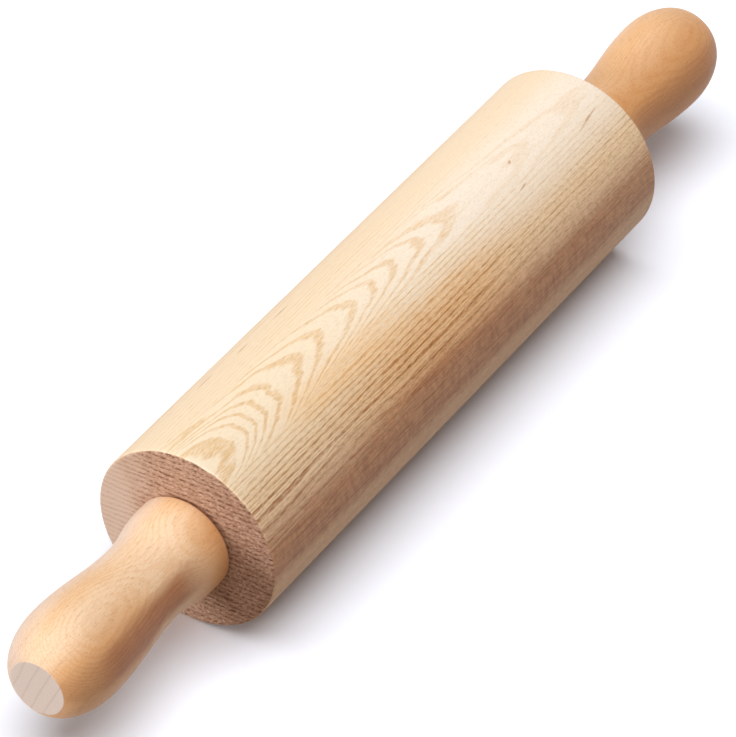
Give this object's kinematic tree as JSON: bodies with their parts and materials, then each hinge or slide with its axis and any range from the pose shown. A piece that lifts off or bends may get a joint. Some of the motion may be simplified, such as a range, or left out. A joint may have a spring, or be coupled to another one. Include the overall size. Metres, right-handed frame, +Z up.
{
  "type": "rolling pin",
  "caption": "Wooden rolling pin: a cylindrical hardwood barrel that spins freely on hidden ball bearings between two turned handles with collar, waist and flat end.",
  "frame": {"origin": "middle of the barrel's length, on the surface it lies on, straight under the axis", "axes": "+X along the pin's axis towards the right handle, +Z up, +Y across the pin"},
  "size_m": [0.42, 0.07, 0.07],
  "materials": {
    "barrel_wood": "bare sanded open-pored pale hardwood, brown on the end grain",
    "handle_wood": "bare sanded fine-flecked hardwood, warm tan",
    "axle_steel": "bright drawn steel",
    "spring_steel": "blackened spring steel",
    "bearing_steel": "ground and polished bearing steel",
    "shield_steel": "pressed thin sheet",
    "cage_plastic": "moulded natural nylon"
  },
  "bodies": {
    "barrel": {"barrel": "barrel_wood", "left_bearing_outer_ring": "bearing_steel", "left_outer_shield": "shield_steel", "left_inner_shield": "shield_steel", "right_bearing_outer_ring": "bearing_steel", "right_outer_shield": "shield_steel", "right_inner_shield": "shield_steel"},
    "axle": {"axle_rod": "axle_steel", "left_handle": "handle_wood", "left_spacer": "axle_steel", "left_retaining_ring": "spring_steel", "left_bearing_inner_ring": "bearing_steel", "right_handle": "handle_wood", "right_spacer": "axle_steel", "right_retaining_ring": "spring_steel", "right_bearing_inner_ring": "bearing_steel"},
    "left_balls": {"left_cage": "cage_plastic", "left_ball_1": "bearing_steel", "left_ball_2": "bearing_steel", "left_ball_3": "bearing_steel", "left_ball_4": "bearing_steel", "left_ball_5": "bearing_steel", "left_ball_6": "bearing_steel", "left_ball_7": "bearing_steel"},
    "right_balls": {"right_cage": "cage_plastic", "right_ball_1": "bearing_steel", "right_ball_2": "bearing_steel", "right_ball_3": "bearing_steel", "right_ball_4": "bearing_steel", "right_ball_5": "bearing_steel", "right_ball_6": "bearing_steel", "right_ball_7": "bearing_steel"}
  },
  "joints": [
    {"name": "axle_spin", "type": "hinge", "parent": "barrel", "child": "axle", "pos_m": [0, 0, 0.035], "axis": [1, 0, 0], "continuous": true},
    {"name": "left_cage_spin", "type": "hinge", "parent": "barrel", "child": "left_balls", "pos_m": [0, 0, 0.035], "axis": [1, 0, 0], "continuous": true},
    {"name": "right_cage_spin", "type": "hinge", "parent": "barrel", "child": "right_balls", "pos_m": [0, 0, 0.035], "axis": [1, 0, 0], "continuous": true}
  ],
  "couplings": [
    {"joint": "left_cage_spin", "follows": "axle_spin", "ratio": 0.3679},
    {"joint": "right_cage_spin", "follows": "axle_spin", "ratio": 0.3679}
  ]
}
